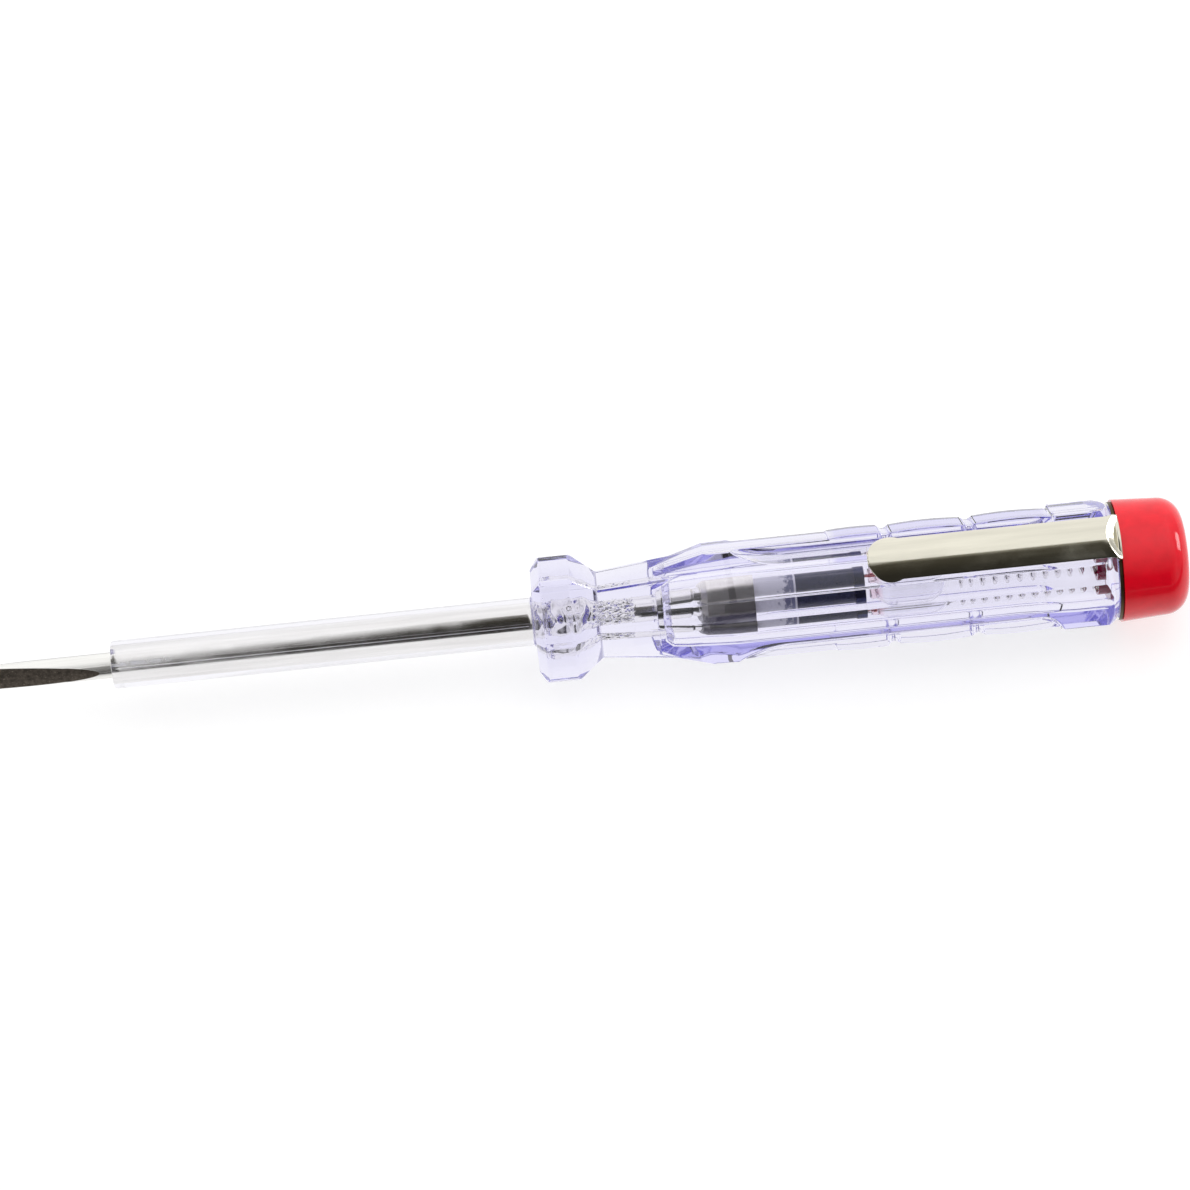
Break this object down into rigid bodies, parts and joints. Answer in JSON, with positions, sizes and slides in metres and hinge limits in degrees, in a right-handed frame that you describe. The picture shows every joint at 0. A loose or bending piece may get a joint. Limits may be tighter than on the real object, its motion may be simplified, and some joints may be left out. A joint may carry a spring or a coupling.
{
  "type": "voltage tester screwdriver",
  "caption": "Pocket voltage tester: slotted blade in a clear sleeve, clear hexagonal handle with a resistor, glow lamp and spring in its bore, steel pocket clip and red screw-on cap.",
  "frame": {"origin": "on the long axis, where the blade's sleeve meets the guard's front face", "axes": "+X along the axis from the blade to the cap, +Z square to the facet under the pocket clip"},
  "size_m": [0.1401, 0.0154, 0.0161],
  "materials": {
    "clear_handle": "clear, with a lilac tint",
    "clear_sleeve": "clear",
    "blade_steel": "bright round shank, tip ground and dull",
    "contact_metal": "satin",
    "resistor_film": "dark film on a white ceramic rod",
    "lamp_glass": "clear",
    "lamp_wire": "drawn wire",
    "spring_steel": "drawn wire",
    "nickel_plate": "bright nickel",
    "red_plastic": "gloss"
  },
  "bodies": {
    "handle": {"handle": "clear_handle", "blade": "blade_steel", "blade_sleeve": "clear_sleeve", "front_contact_cap": "contact_metal", "resistor_rod": "resistor_film", "rear_contact_cap": "contact_metal", "lamp_glass": "lamp_glass", "lamp_electrode_front": "lamp_wire", "lamp_electrode_return": "lamp_wire", "spring": "spring_steel"},
    "clip_seat": {"clip_ring": "nickel_plate"},
    "clip_arm": {"clip_arm": "nickel_plate"},
    "cap": {"end_cap": "red_plastic", "touch_stud": "nickel_plate"}
  },
  "joints": [
    {"name": "cap_travel", "type": "slide", "parent": "handle", "child": "clip_seat", "axis": [1, 0, 0], "range_m": [0, 0.0009], "deforming": ["spring"]},
    {"name": "cap_turn", "type": "hinge", "parent": "clip_seat", "child": "cap", "pos_m": [0.072, 0, 0], "axis": [1, 0, 0], "range_deg": [0, 360]},
    {"name": "clip_flex", "type": "hinge", "parent": "clip_seat", "child": "clip_arm", "pos_m": [0.06796, -0.00086, 0.00816], "axis": [0, 0.9945, 0.1045], "range_deg": [0, 6], "stiffness_Nm_per_rad": 1}
  ],
  "couplings": [
    {"joint": "cap_turn", "follows": "cap_travel", "rad_per_m": 6981}
  ]
}
